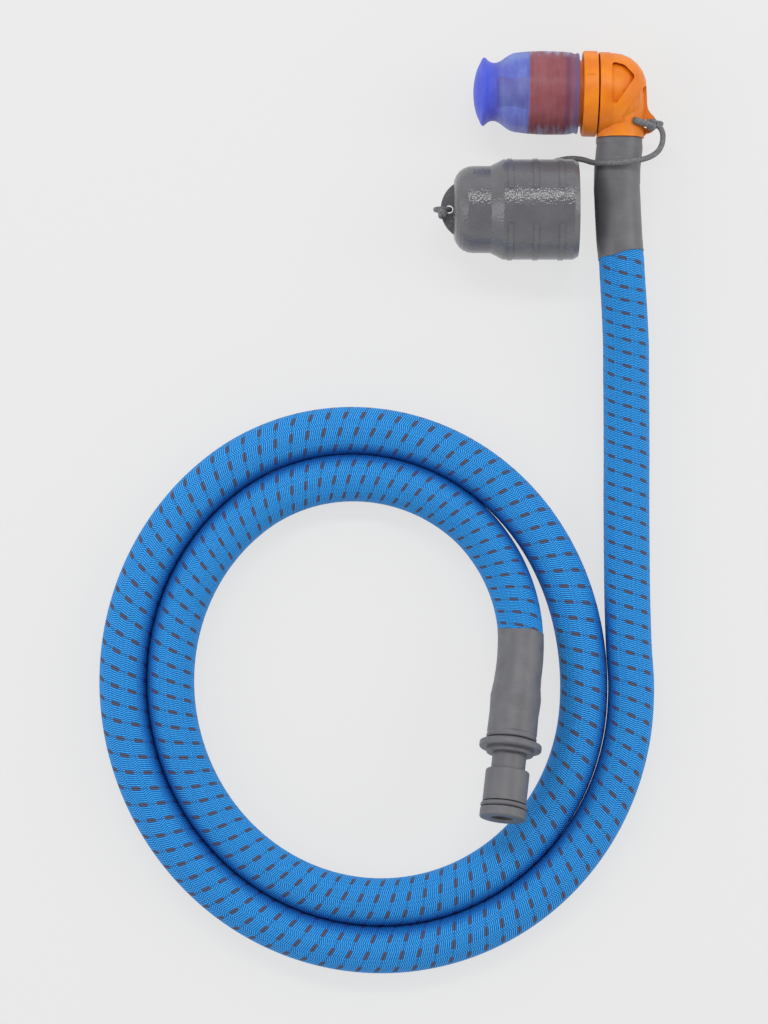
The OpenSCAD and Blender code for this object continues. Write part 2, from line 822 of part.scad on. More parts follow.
module plug_body() {
  barrel_r = plug_barrel_d / 2;
  seal_r = nose_d / 2 - plug_seal_d;
  color(grey) in_plug() lathe(concat(
    [[barb_bore / 2, -barb_len]],
    barb_profile(-barb_len, 0),
    [
      [barb_root_d / 2, 0],
      [hose_r, 0],
      [hose_r, rim_t],
      [stop_d / 2, rim_t, plug_edge],
      [stop_d / 2, stop_end, plug_edge],
      [step_d / 2, stop_end],
      [step_d / 2, step_end, plug_edge / 2],
      [neck_d / 2, step_end],
      [neck_d / 2, neck_end],
      [barrel_r, neck_end, plug_edge],
      [barrel_r, plug_barrel_end, plug_lip_round],
      [seal_r, plug_barrel_end],
      [seal_r, nose_start],
      [nose_d / 2, nose_start, plug_lip_round],
      [nose_d / 2, nose_end, nose_round],
      [plug_bore / 2 + plug_bore_chamfer, nose_end],
      [plug_bore / 2, nose_end - plug_bore_chamfer],
      [plug_bore / 2, nose_end - plug_bore_len],
      [barb_bore / 2, nose_end - plug_bore_len - plug_bore_cone]
    ]
  ));
}

module plug_o_ring() {
  seal_at = (plug_barrel_end + nose_start) / 2;
  color(seal_black) in_plug() o_ring(nose_d - 2 * plug_seal_d + 2 * seat_fit, plug_seal_d, seal_at);
}

hose_cover_run();
hose_cover_coil();
inner_tube();
valve_sleeve();
plug_sleeve();
swivel_barb();
swivel_o_ring();
plug_body();
plug_o_ring();
elbow();
swivel_clip();
tip_seal();
tether();
lug_knot();
core_o_ring();
valve_core();
twist_ring();
bite_valve();
dust_cap();
cap_knot();
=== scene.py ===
"""Looks of a drinking-tube assembly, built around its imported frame. Metres, +Z up."""

import math

import bmesh
import bpy
import numpy as np
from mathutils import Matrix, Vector


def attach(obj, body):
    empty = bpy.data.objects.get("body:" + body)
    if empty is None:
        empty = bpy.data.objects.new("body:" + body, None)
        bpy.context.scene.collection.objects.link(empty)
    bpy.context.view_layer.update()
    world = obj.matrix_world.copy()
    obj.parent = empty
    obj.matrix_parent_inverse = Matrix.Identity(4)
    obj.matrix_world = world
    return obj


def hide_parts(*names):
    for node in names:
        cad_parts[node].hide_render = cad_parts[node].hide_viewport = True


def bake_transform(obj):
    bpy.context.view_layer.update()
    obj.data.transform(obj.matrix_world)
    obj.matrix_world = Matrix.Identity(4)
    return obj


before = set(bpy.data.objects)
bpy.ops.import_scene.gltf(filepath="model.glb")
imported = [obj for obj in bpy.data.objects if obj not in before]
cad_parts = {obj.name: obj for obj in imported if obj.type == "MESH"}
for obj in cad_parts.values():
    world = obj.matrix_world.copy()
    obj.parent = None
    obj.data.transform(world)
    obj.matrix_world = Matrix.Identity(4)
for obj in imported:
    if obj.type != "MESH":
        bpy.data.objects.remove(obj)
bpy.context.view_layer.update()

MM = 0.001
UP = np.array([0.0, 0.0, 1.0])

# Camera: straight above the table, framed for a picture 1024 pixels high
IMAGE_HEIGHT = 1024
PIXEL = 0.29
CAMERA_AT = np.array([-47.5, -102.6, 1000.0])

# Hose, in millimetres
HOSE_R = 6.5
HOSE_BORE_R = 4.85
TUBE_R = 4.8
TUBE_BORE_R = 3.2
TUBE_SIDES = 24
HOSE_TOP = np.array([20.3, 3.7, 12.3])
VALVE_SLEEVE_LEN = 34.0
PLUG_SLEEVE_LEN = 31.0
SLEEVE_R = 6.66
SLEEVE_BORE_R = 6.55
RUN_POINTS = [
    [21, -42, 10.4],
    [21.9, -56, 8.3],
    [22.5, -70, 7],
    [22.8, -84, HOSE_R],
    [22.8, -100, HOSE_R],
    [22.9, -116, HOSE_R],
    [23.1, -130, HOSE_R],
    [23.5, -142, HOSE_R],
]
# How far the hose sways to its left, by place along it
HOSE_SWAY = [
    (0, 0), (2, 0), (7.5, -0.55), (13.5, -0.65), (20.5, -0.32), (27.5, 0.12), (34, 0.7),
    (48, 0.83), (58, 0.74), (67, 0.38), (76, 0.2), (85, 0.05), (95, 0),
]
# Coil, with angles in degrees: slightly oval, and drawn in by a pitch between two angles of each turn
COIL_AT = np.array([-49.5, -153.1, HOSE_R])
COIL_R = 75.0
COIL_OVAL = 1.5
OVAL_ANGLE = 77
COIL_PITCH = 13.75
COIL_ANGLE = 648
COIL_STEP = 12
STEP_FROM = 233
STEP_TO = 364
# The hose's end at the plug: its place and heading, and the straight stretch and bend that lead to it
PLUG_END = np.array([-10.9, -166.4, 18.5985])
PLUG_HEADING = math.radians(7)
PLUG_RISE = math.radians(16)
LEAD_HEADING = math.radians(42)
LEAD_STRAIGHT = 22.0
LEAD_R = 46.0
LEAD_RINGS = 6

# Valve: the crossing of the hose and valve axes, and the direction towards the mouth
ELBOW_AT = np.array([20.3, 17.8, 12.3])
VALVE_TILT = math.radians(1.1)
VALVE_AXIS = np.array([-math.cos(VALVE_TILT), math.sin(VALVE_TILT), 0.0])
VALVE_SIDE = np.cross(UP, VALVE_AXIS)

# Stations on the valve's axis, from the crossing: the ends of the barrel inside the mouthpiece,
# the middle of the band where the mouthpiece is seated, the narrowest place of its mouth,
# and where the colour of its lips starts and is full
BARREL_FROM = 12.0
BARREL_END = 26.1
SEAT_AT = 15.3
MOUTH_NECK_AT = 35.8
LIPS_FROM = 33.5
LIPS_FULL = 38.0

# Tether: its cord and its route
TETHER_R = 0.8
TETHER_STEP = 0.4
TETHER_SIDES = 20
TETHER_POINTS = [
    [30.6, 8.6, 15.7],
    [31.8, 7.9, 15.4],
    [32.5, 6.6, 15.3],
    [32.6, 4.2, 15.4],
    [31.5, 1.4, 16.6],
    [29, -0.7, 18.4],
    [26, -1.8, 19.9],
    [22.6, -2.4, 20.6],
    [19, -2.7, 20.7],
    [15.9, -2.7, 19.5],
    [13.3, -2.4, 16.8],
    [11.9, -1.8, 13.6],
    [10.3, -1, 11.2],
    [8.2, -0.5, 9.9],
    [5.5, -0.4, 8.7],
    [2.8, -0.8, 7.1],
    [0.2, -1.5, 5.3],
    [-2.6, -2.1, 3.7],
    [-6, -2.5, 2.2],
    [-10, -2.6, 1.3],
    [-15, -3, 0.9],
    [-20, -4.2, 0.9],
    [-24.2, -6.4, 1.1],
    [-27.6, -9.4, 1.9],
    [-29.7, -12.6, 4.1],
    [-30.5, -14.9, 7.4],
    [-30.6, -15.6, 11.1],
]


def unit(vector):
    return np.asarray(vector, float) / np.linalg.norm(vector)


def smooth(t):
    c = np.clip(t, 0, 1)
    return c * c * (3 - 2 * c)


def between(at, knots):
    """A value that runs straight from knot to knot; a knot is (place, value)."""
    places, values = zip(*knots)
    return np.interp(at, places, values)


# Paths

def spline(points, step):
    """Points a step apart on one smooth curve through the given ones."""
    points = np.asarray(points, float)
    chord = np.linalg.norm(np.diff(points, axis=0), axis=1)
    place = np.concatenate([[0], np.cumsum(chord)])
    slope = np.gradient(points, place, axis=0)
    samples_per_step = 8
    fine = np.linspace(0, place[-1], int(place[-1] / step * samples_per_step))
    i = np.clip(np.searchsorted(place, fine, side="right") - 1, 0, len(chord) - 1)
    t = ((fine - place[i]) / chord[i])[:, None]
    h = chord[i][:, None]
    curve = (
        (2 * t**3 - 3 * t**2 + 1) * points[i]
        + (t**3 - 2 * t**2 + t) * h * slope[i]
        + (3 * t**2 - 2 * t**3) * points[i + 1]
        + (t**3 - t**2) * h * slope[i + 1]
    )
    along = np.concatenate([[0], np.cumsum(np.linalg.norm(np.diff(curve, axis=0), axis=1))])
    even = np.linspace(0, along[-1], max(2, round(along[-1] / step) + 1))
    return np.stack([np.interp(even, along, curve[:, k]) for k in range(3)], axis=1)


def lengths(path):
    """Distance of each point from the path's start."""
    return np.concatenate([[0], np.cumsum(np.linalg.norm(np.diff(path, axis=0), axis=1))])


def tangents(path):
    along = np.gradient(path, axis=0)
    return along / np.linalg.norm(along, axis=1)[:, None]


def upright_frames(path):
    """For each point of a path that is never upright: its upward and leftward directions."""
    along = tangents(path)
    left = np.cross(UP, along)
    left /= np.linalg.norm(left, axis=1)[:, None]
    return np.cross(along, left), left


def carried_frames(path, first):
    """For each point of any path: two directions across it, carried along with no twist."""
    along = tangents(path)
    up = np.zeros_like(path)
    held = np.asarray(first, float)
    for i, ahead in enumerate(along):
        held = unit(held - ahead * (held @ ahead))
        up[i] = held
    return up, np.cross(up, along)


def swayed(path):
    """The path with the hose's small sideways sway below the elbow."""
    left = upright_frames(path)[1]
    return path + between(lengths(path), HOSE_SWAY)[:, None] * left


def coil_point(angle):
    """A point of the hose's axis in the coil."""
    span = STEP_TO - STEP_FROM
    step = (angle - STEP_FROM) / span
    drawn_in = COIL_PITCH * (smooth(step) + smooth(step - 360 / span))
    radius = COIL_R + COIL_OVAL * math.cos(math.radians(2 * (angle - OVAL_ANGLE))) - drawn_in
    turn = math.radians(angle)
    return COIL_AT + radius * np.array([math.cos(turn), -math.sin(turn), 0])


def flat_heading(angle):
    """A level direction, turned from -Y towards +X."""
    return np.array([math.sin(angle), -math.cos(angle), 0])


PLUG_AXIS = math.cos(PLUG_RISE) * flat_heading(-PLUG_HEADING) + math.sin(PLUG_RISE) * UP
LEAD_START = flat_heading(LEAD_HEADING)
LEAD_ANGLE = math.acos(PLUG_AXIS @ LEAD_START)
LEAD_SIDE = unit(LEAD_START - PLUG_AXIS * math.cos(LEAD_ANGLE))
LEAD_LEN = LEAD_STRAIGHT + LEAD_R * LEAD_ANGLE


def in_lead(s):
    """The hose's axis, s back from the plug: a straight stretch, then an arc down to the table."""
    straight = min(s, LEAD_STRAIGHT)
    angle = (s - straight) / LEAD_R
    bend = PLUG_AXIS * math.sin(angle) + LEAD_SIDE * (1 - math.cos(angle))
    return PLUG_END - straight * PLUG_AXIS - LEAD_R * bend


def hose_route():
    """Points of the hose's axis, from the elbow to the plug."""
    top = [HOSE_TOP - [0, VALVE_SLEEVE_LEN * i / 2, 0] for i in range(3)]
    coil = [coil_point(angle) for angle in range(0, COIL_ANGLE + 1, COIL_STEP)]
    free = [in_lead(LEAD_LEN + (PLUG_SLEEVE_LEN - LEAD_LEN) * i / LEAD_RINGS) for i in range(LEAD_RINGS)]
    held = [in_lead(PLUG_SLEEVE_LEN * (4 - i) / 4) for i in range(5)]
    return [*top, *RUN_POINTS, *coil, *free, *held]


# Meshes

def make_object(name, points, faces):
    """A smooth mesh, from points in millimetres."""
    mesh = bpy.data.meshes.new(name)
    mesh.from_pydata((np.asarray(points) * MM).tolist(), [], faces)
    shape = bmesh.new()
    shape.from_mesh(mesh)
    bmesh.ops.recalc_face_normals(shape, faces=shape.faces)
    shape.to_mesh(mesh)
    shape.free()
    mesh.shade_smooth()
    piece = bpy.data.objects.new(name, mesh)
    bpy.context.scene.collection.objects.link(piece)
    return piece


def grid_faces(rows, sides, closed):
    """Faces between rings of points; a closed grid joins its last ring to its first."""
    row, side = np.meshgrid(np.arange(rows if closed else rows - 1), np.arange(sides), indexing="ij")
    ahead = (row + 1) % rows
    beside = (side + 1) % sides
    corners = [row * sides + side, ahead * sides + side, ahead * sides + beside, row * sides + beside]
    return np.stack(corners, axis=-1).reshape(-1, 4).tolist()


def loft(name, rings, closed=False):
    """A tube through rings of points, with flat ends unless it closes on itself."""
    rows, sides = rings.shape[:2]
    faces = grid_faces(rows, sides, closed)
    if not closed:
        faces.append(list(range(sides)))
        faces.append([(rows - 1) * sides + j for j in reversed(range(sides))])
    return make_object(name, rings.reshape(-1, 3), faces)


def ring_points(path, up, left, radius, angles):
    """Rings round a path; radius is one number or one per point, and angles turn from up to left."""
    radius = np.broadcast_to(radius, angles.shape)[..., None]
    across = np.cos(angles)[..., None] * up[:, None] + np.sin(angles)[..., None] * left[:, None]
    return path[:, None] + radius * across


def turns(rows, sides):
    """Even angles round a ring, the same for every row."""
    return np.broadcast_to(np.arange(sides) * 2 * math.pi / sides, (rows, sides))


def cord_mesh(name, path, radius, sides, first=UP):
    """A plain round cord along a path."""
    up, left = carried_frames(path, first)
    return loft(name, ring_points(path, up, left, radius, turns(len(path), sides)))


def add_values(piece, name, values):
    """Gives each point of a mesh a number that its material reads."""
    layer = piece.data.attributes.new(name, "FLOAT", "POINT")
    layer.data.foreach_set("value", values.ravel().astype(np.float32))


def joined(name, pieces):
    """One object from several meshes."""
    bpy.ops.object.select_all(action="DESELECT")
    for piece in pieces:
        piece.select_set(True)
    bpy.context.view_layer.objects.active = pieces[0]
    bpy.ops.object.join()
    bpy.ops.object.select_all(action="DESELECT")
    pieces[0].name = name
    return pieces[0]


def waves(angles, ripples):
    """Waves round a ring, for soft uneven edges; each is (number, phase, size)."""
    return sum(size * np.cos(n * angles + phase) for n, phase, size in ripples)


# Materials

# Columns of yarn round the hose
WEAVE_COLUMNS = 8


def srgb(red, green, blue):
    """A colour given in screen values, 0 to 255."""
    values = np.array([red, green, blue]) / 255
    linear = np.where(values <= 0.04045, values / 12.92, ((values + 0.055) / 1.055) ** 2.4)
    return (*linear.tolist(), 1.0)


class Field:
    """A number that varies over a surface. Its arithmetic adds shader nodes."""

    def __init__(self, tree, socket):
        self.tree = tree
        self.socket = socket

    def math(self, operation, *others):
        node = self.tree.nodes.new("ShaderNodeMath")
        node.operation = operation
        for entry, value in zip(node.inputs, (self, *others)):
            feed(self.tree, entry, value)
        return Field(self.tree, node.outputs[0])

    def __add__(self, other):
        return self.math("ADD", other)

    def __sub__(self, other):
        return self.math("SUBTRACT", other)

    def __mul__(self, other):
        return self.math("MULTIPLY", other)

    def fraction(self):
        return self.math("FRACT")

    def size(self):
        return self.math("ABSOLUTE")

    def wave(self):
        """0 at each whole number, and 1 halfway between."""
        return (self * math.pi).math("SINE").size()

    def ramp(self, low, high):
        """0 up to low, then smoothly to 1 at high; the other way round where low is the larger."""
        node = self.tree.nodes.new("ShaderNodeMapRange")
        node.interpolation_type = "SMOOTHSTEP"
        feed(self.tree, node.inputs["Value"], self)
        node.inputs["From Min"].default_value = min(low, high)
        node.inputs["From Max"].default_value = max(low, high)
        node.inputs["To Min"].default_value = 0 if low < high else 1
        node.inputs["To Max"].default_value = 1 if low < high else 0
        return Field(self.tree, node.outputs["Result"])


def feed(tree, entry, value):
    """Gives a node's entry a field, or one value everywhere."""
    if isinstance(value, Field):
        tree.links.new(value.socket, entry)
    else:
        entry.default_value = value


class Surface:
    """A material whose looks come from shader nodes."""

    def __init__(self, name, **settings):
        self.material = bpy.data.materials.new(name)
        self.material.use_nodes = True
        self.tree = self.material.node_tree
        self.shader = self.tree.nodes["Principled BSDF"]
        for entry, value in settings.items():
            self.set(entry.replace("_", " "), value)

    def set(self, entry, value):
        names = {name.lower(): name for name in self.shader.inputs.keys()}
        feed(self.tree, self.shader.inputs[names[entry.lower()]], value)

    def place(self):
        """Position in the frame at rest, in metres."""
        node = self.tree.nodes.new("ShaderNodeTexCoord")
        return Field(self.tree, node.outputs["Object"])

    def split(self, vector):
        node = self.tree.nodes.new("ShaderNodeSeparateXYZ")
        feed(self.tree, node.inputs[0], vector)
        return [Field(self.tree, output) for output in node.outputs]

    def merged(self, x, y, z=0.0):
        node = self.tree.nodes.new("ShaderNodeCombineXYZ")
        for entry, value in zip(node.inputs, (x, y, z)):
            feed(self.tree, entry, value)
        return Field(self.tree, node.outputs[0])

    def uv(self, name):
        node = self.tree.nodes.new("ShaderNodeUVMap")
        node.uv_map = name
        return self.split(Field(self.tree, node.outputs[0]))[:2]

    def attribute(self, name):
        node = self.tree.nodes.new("ShaderNodeAttribute")
        node.attribute_name = name
        return Field(self.tree, node.outputs["Fac"])

    def noise(self, vector, grain, detail=2.0):
        """Cloudy noise from 0 to 1, whose grain is a size in millimetres."""
        node = self.tree.nodes.new("ShaderNodeTexNoise")
        feed(self.tree, node.inputs["Vector"], vector)
        node.inputs["Scale"].default_value = 1 / (grain * MM)
        node.inputs["Detail"].default_value = detail
        return Field(self.tree, node.outputs["Fac"])

    def mix(self, share, first, second):
        """A colour between two others."""
        node = self.tree.nodes.new("ShaderNodeMix")
        node.data_type = "RGBA"
        feed(self.tree, node.inputs["Factor"], share)
        feed(self.tree, node.inputs[6], first)
        feed(self.tree, node.inputs[7], second)
        return Field(self.tree, node.outputs[2])

    def bump(self, height, depth):
        """Relief of a height from 0 to 1, whose depth is in millimetres."""
        node = self.tree.nodes.new("ShaderNodeBump")
        node.inputs["Distance"].default_value = depth * MM
        feed(self.tree, node.inputs["Height"], height)
        self.set("Normal", Field(self.tree, node.outputs[0]))

    def veil(self, share, tint):
        """The surface covers a share of what is behind it and tints the rest."""
        clear = self.tree.nodes.new("ShaderNodeBsdfTransparent")
        clear.inputs["Color"].default_value = tint
        blend = self.tree.nodes.new("ShaderNodeMixShader")
        feed(self.tree, blend.inputs[0], share)
        self.tree.links.new(clear.outputs[0], blend.inputs[1])
        self.tree.links.new(self.shader.outputs[0], blend.inputs[2])
        self.tree.links.new(blend.outputs[0], self.tree.nodes["Material Output"].inputs["Surface"])


def woven_cover():
    """Braided yarn: zigzag ribs in eight columns, with dark dashes on three tracer yarns, painted shade
    and highlights by rib height, and painted shade where turns of the coil lie against each other.
    """
    ribs_per_dash = 8
    beads_per_column = 4
    tracers = 3
    tracer_slope = tracers / WEAVE_COLUMNS
    dash_zone = 2 / 3
    surface = Surface("woven_cover", roughness=0.6, specular_IOR_level=0.2)
    around, along = surface.uv("weave")
    column = around * WEAVE_COLUMNS + dash_zone / 2
    across = column.fraction()
    zigzag = (across - dash_zone).size() * tracer_slope
    rib = ((along + zigzag) * ribs_per_dash).wave()
    bead = (column * beads_per_column).wave()
    height = rib * (bead * 0.2 + 0.8)
    tracer = ((along - column * tracer_slope).fraction() - 0.5).size()
    from_middle = (across - dash_zone / 2).size()
    rounded_end = (from_middle * 2.05).math("POWER", 4.0)
    dash = (tracer + rounded_end - height * 0.05).ramp(0.13, 0.08)
    between_dashes = tracer.ramp(0.07, 0.03) * (across - dash_zone).ramp(0, 0.04)
    yarn = surface.noise(surface.merged(around * 41, along * 4.8), 0.9 / MM, 3)
    # Painted shade in the grooves between ribs and painted highlights on their crests
    cloth_painted_rib_shading = surface.mix(height.ramp(0.15, 0.95), srgb(2, 60, 138), srgb(54, 170, 247))
    varied = surface.mix(yarn.ramp(0.3, 0.75) * 0.3, cloth_painted_rib_shading, srgb(20, 110, 196))
    traced = surface.mix(between_dashes * 0.45, varied, srgb(30, 70, 120))
    # The same painted shade and highlights by rib height on the dashes
    dash_painted_rib_shading = surface.mix(height.ramp(0.1, 0.8), srgb(34, 40, 66), srgb(84, 90, 114))
    braid = surface.mix(dash, traced, dash_painted_rib_shading)
    # Painted shade: deep navy on the cover's flanks where turns of the coil lie against each other
    crevice_shade = surface.attribute("crevice_shade")
    surface.set("Base Color", surface.mix(crevice_shade * 0.65, braid, srgb(5, 54, 150)))
    surface.bump(height + yarn * 0.2, 0.16)
    return surface.material


def shrink_sleeve():
    """Heat-shrunk film: soft grey with a low sheen and fine stretch lines round it."""
    surface = Surface("shrink_sleeve", specular_IOR_level=0.5)
    place = surface.place()
    x, y, z = surface.split(place)
    blotch = surface.noise(place, 5, 3)
    grain = surface.noise(place, 0.35)
    line = surface.noise(surface.merged(x * 0.12, y, z * 0.12), 0.5, 2)
    surface.set("Base Color", surface.mix(blotch.ramp(0.3, 0.7), srgb(92, 92, 96), srgb(102, 102, 106)))
    surface.set("Roughness", blotch * 0.14 + 0.38)
    surface.bump(grain * 0.2 + line * 0.8 + blotch * 0.5, 0.05)
    return surface.material


def moulded(name, dark, light, grain, depth, roughness, **settings):
    """Moulded plastic: a fine spark-eroded grain under a satin finish."""
    surface = Surface(name, **settings)
    place = surface.place()
    cloud = surface.noise(place, 6, 3)
    speck = surface.noise(place, grain, 1)
    surface.set("Base Color", surface.mix(cloud.ramp(0.3, 0.7), dark, light))
    surface.set("Roughness", cloud * 0.1 + roughness)
    surface.bump(speck, depth)
    return surface.material


def bite_silicone():
    """Hazy blue silicone that lets what it covers show, with a painted pale reflection on its flanks
    over the barrel.
    """
    surface = Surface("bite_silicone", roughness=0.42, specular_IOR_level=0.25)
    place = surface.place()
    x, y, z = surface.split(place)
    station = surface.attribute("station")
    ringed = surface.noise(surface.merged(x, y * 0.14, z * 0.14), 1.4, 2)
    tone = (surface.noise(place, 4) * 0.5 + ringed * 0.5).ramp(0.3, 0.7)
    on_barrel = station.ramp(BARREL_END + 0.4, BARREL_END - 0.2)
    at_lips = station.ramp(LIPS_FROM, LIPS_FULL)
    seat = (station - SEAT_AT).size().ramp(1.3, 0.2)
    # Painted reflection: pale blue on the flanks over the barrel
    flank_reflection = surface.attribute("flank").ramp(0.78, 1) * ringed.ramp(0.38, 0.66) * on_barrel
    tight = surface.mix(tone, (0.24, 0.068, 0.078, 1), (0.31, 0.105, 0.128, 1))
    cling = surface.mix(station.ramp(SEAT_AT, BARREL_FROM) * 0.8, tight, (0.12, 0.1, 0.25, 1))
    seated = surface.mix(seat * 0.7, cling, (0.12, 0.045, 0.11, 1))
    barrel = surface.mix(flank_reflection, seated, (0.33, 0.4, 0.62, 1))
    chamber = surface.mix(tone, (0.08, 0.16, 0.6, 1), (0.15, 0.29, 0.73, 1))
    body = surface.mix(on_barrel, chamber, barrel)
    neck = (station - MOUTH_NECK_AT).size().ramp(1.7, 0.2)
    lips = surface.mix(at_lips, body, (0.06, 0.11, 0.72, 1))
    surface.set("Base Color", surface.mix(neck * 0.6, lips, (0.03, 0.07, 0.56, 1)))
    # Only the outer wall hides what is behind it; the inner one tints it
    hiding = on_barrel * 0.26 + at_lips * 0.17 + 0.56
    surface.veil(surface.attribute("outside") * hiding, (0.85, 0.77, 0.98, 1))
    return surface.material


def tether_yarn():
    """Thin round elastic cord with a fine fibrous surface."""
    surface = Surface("tether_yarn", roughness=0.6, specular_IOR_level=0.35)
    place = surface.place()
    fibre = surface.noise(place, 0.5, 3)
    surface.set("Base Color", surface.mix(fibre.ramp(0.3, 0.7), srgb(88, 88, 91), srgb(120, 120, 123)))
    surface.bump(fibre, 0.08)
    return surface.material


def polished_steel():
    """Steel wire with fine streaks."""
    surface = Surface("clip_steel", metallic=1.0)
    streak = surface.noise(surface.place(), 0.4, 2)
    surface.set("Base Color", surface.mix(streak, srgb(170, 172, 175), srgb(205, 206, 208)))
    surface.set("Roughness", streak * 0.2 + 0.25)
    return surface.material


GREY_DARK = srgb(93, 93, 97)
GREY_LIGHT = srgb(100, 100, 104)
ORANGE_DARK = srgb(216, 113, 15)
ORANGE_LIGHT = srgb(228, 131, 25)
MATERIALS = {
    "woven_cover": woven_cover(),
    "shrink_sleeve": shrink_sleeve(),
    "bite_silicone": bite_silicone(),
    "tether_cord": tether_yarn(),
    "clip_steel": polished_steel(),
    "cap_plastic": moulded("cap_plastic", GREY_DARK, GREY_LIGHT, 0.65, 0.15, 0.09),
    "grey_plastic": moulded("grey_plastic", GREY_DARK, GREY_LIGHT, 0.3, 0.02, 0.4),
    "orange_plastic": moulded(
        "orange_plastic", ORANGE_DARK, ORANGE_LIGHT, 0.5, 0.012, 0.36, specular_IOR_level=0.3,
    ),
    "tube_rubber": moulded("tube_rubber", srgb(196, 204, 208), srgb(214, 220, 222), 0.8, 0.01, 0.35),
    "seal_rubber": moulded("seal_rubber", srgb(34, 34, 36), srgb(48, 48, 50), 0.3, 0.02, 0.5),
}


def finish(piece, slot):
    """Gives a piece the material of its slot."""
    piece.data.materials.clear()
    piece.data.materials.append(MATERIALS[slot])
    return piece


# Camera

def camera():
    data = bpy.data.cameras.new("camera")
    data.angle = 2 * math.atan(IMAGE_HEIGHT / 2 * PIXEL / (CAMERA_AT[2] - HOSE_R))
    view = bpy.data.objects.new("camera", data)
    view.location = CAMERA_AT * MM
    bpy.context.scene.collection.objects.link(view)
    bpy.context.scene.camera = view


# Hose in its woven cover

RING_STEP = 1.0
HOSE_SIDES = 72
# The bore needs fewer rings: one for so many of the outside's
INNER_STEP = 5
# How deep the hollows between the weave's columns are
LOBE_DEPTH = 0.05
# Length of one dash's repeat along the hose, and how far its columns are turned, by place
DASH_PITCH = [
    (0, 3.8), (60, 3.9), (130, 4.3), (220, 5.05), (400, 4.95),
    (550, 4.65), (650, 5), (800, 4.5), (950, 4),
]
COLUMN_TURN = [
    (0, -2), (200, 0), (300, 14), (400, 18), (500, -3),
    (570, -3), (620, -17), (700, -17), (770, -4),
]
# How much wider than round the hose lies, by place: its turns press on each other in the coil
HOSE_SPREAD = [(34, 0), (60, 0.15), (150, 0.15), (230, 0.375), (900, 0.375), (940, 0.15), (969, 0)]
# A neighbouring turn is at least this many rings along the hose. Painted shade falls on the cover where
# the axes are nearer than the reach, more and more over the fade, and only on flanks past this sine of
# the angle round
NEIGHBOUR_FROM = 120
NEIGHBOUR_REACH = 17
NEIGHBOUR_FADE = 3
FLANK_FROM = 0.5


def painted_crevice_shade(path, left, angles):
    """Painted shade for the crevices between turns of the coil: from 0 to 1, how near each point of the
    cover is to a neighbouring turn that lies against it.
    """
    gap = path[None] - path[:, None]
    apart = np.linalg.norm(gap, axis=2)
    order = np.arange(len(path))
    apart[np.abs(np.subtract.outer(order, order)) < NEIGHBOUR_FROM] = np.inf
    sideways = np.einsum("ijk,ik->ij", gap, left)
    shade = np.zeros(angles.shape)
    for side in (1, -1):
        nearest = np.where(sideways * side > 0, apart, np.inf).min(axis=1)
        beside = smooth((NEIGHBOUR_REACH - nearest) / NEIGHBOUR_FADE)[:, None]
        flank = smooth((np.sin(angles) * side - FLANK_FROM) / (1 - FLANK_FROM))
        shade = np.maximum(shade, beside * flank)
    return shade


def hose_cover(path):
    """The woven tube, with its weave's place along and round it as a UV map."""
    along = lengths(path)
    up, left = upright_frames(path)
    turned = np.radians(between(along, COLUMN_TURN))[:, None]
    angles = turns(len(path), HOSE_SIDES) + turned
    lobe = (np.cos(WEAVE_COLUMNS * (angles - turned)) - 1) * np.cos(angles) ** 2
    spread = between(along, HOSE_SPREAD)[:, None] * np.sin(angles) ** 2
    outer = ring_points(path, up, left, HOSE_R + LOBE_DEPTH * lobe + spread, angles)
    inner_rows = np.arange(len(path) - 1, -1, -INNER_STEP)
    inner = ring_points(path, up, left, HOSE_BORE_R, angles)[inner_rows]
    piece = loft("hose_cover", np.concatenate([outer, inner]), closed=True)
    # Painted shade for the crevices between turns, kept on the points for the material
    shade = painted_crevice_shade(path, left, angles)
    add_values(piece, "crevice_shade", np.concatenate([shade, shade[inner_rows]]))
    weave = np.concatenate([[0], np.cumsum(np.diff(along) / between(along[1:], DASH_PITCH))])
    rows = np.concatenate([weave, weave[inner_rows]])
    corner = np.empty(len(piece.data.loops), int)
    piece.data.loops.foreach_get("vertex_index", corner)
    column = corner % HOSE_SIDES
    # The last face of each ring ends at a whole turn, not back at zero
    wraps = np.repeat((column.reshape(-1, 4).max(axis=1) == HOSE_SIDES - 1), 4) & (column == 0)
    uv = np.stack([(column + wraps * HOSE_SIDES) / HOSE_SIDES, rows[corner // HOSE_SIDES]], axis=1)
    piece.data.uv_layers.new(name="weave").data.foreach_set("uv", uv.ravel().astype(np.float32))
    return piece


def drinking_tube(path):
    """The plain tube inside the woven cover."""
    path = path[::INNER_STEP]
    up, left = upright_frames(path)
    angles = turns(len(path), TUBE_SIDES)
    outer = ring_points(path, up, left, TUBE_R, angles)
    inner = ring_points(path, up, left, TUBE_BORE_R, angles)[::-1]
    return loft("drinking_tube", np.concatenate([outer, inner]), closed=True)


# Shrink films over the hose's ends

FILM_STEP = 0.25
FILM_SIDES = 96
CREASES = 60
CREASE_DEPTH = 0.05
# Waves of each film's two ends along the hose, and how far it swells, by place
VALVE_FILM_TOP = [(0, 0, -1.5)]
VALVE_FILM_CUT = [(0, 0, -0.65), (1, 2.6, 1.25), (3, 0.8, 0.15), (5, 2, 0.1)]
VALVE_FILM_SWELL = [(0, 0)]
PLUG_FILM_CUT = [(0, 0, -0.6), (1, 5.2, 1.0), (3, 2.1, 0.2), (5, 0.6, 0.1)]
PLUG_FILM_END = [(0, 0, 1.6)]
PLUG_FILM_SWELL = [
    (0, 0), (12, 0.05), (15, 0.2), (17.2, 0.55), (18.6, 0.68), (20, 0.6), (23, 0.42), (26.5, 0.5),
    (28.2, 0.56), (28.5, 0.4), (28.8, 0.4), (29.1, 0.58), (29.8, 0.58), (30.1, 0.42), (30.4, 0.42),
    (30.7, 0.6), (31, 0.6),
]


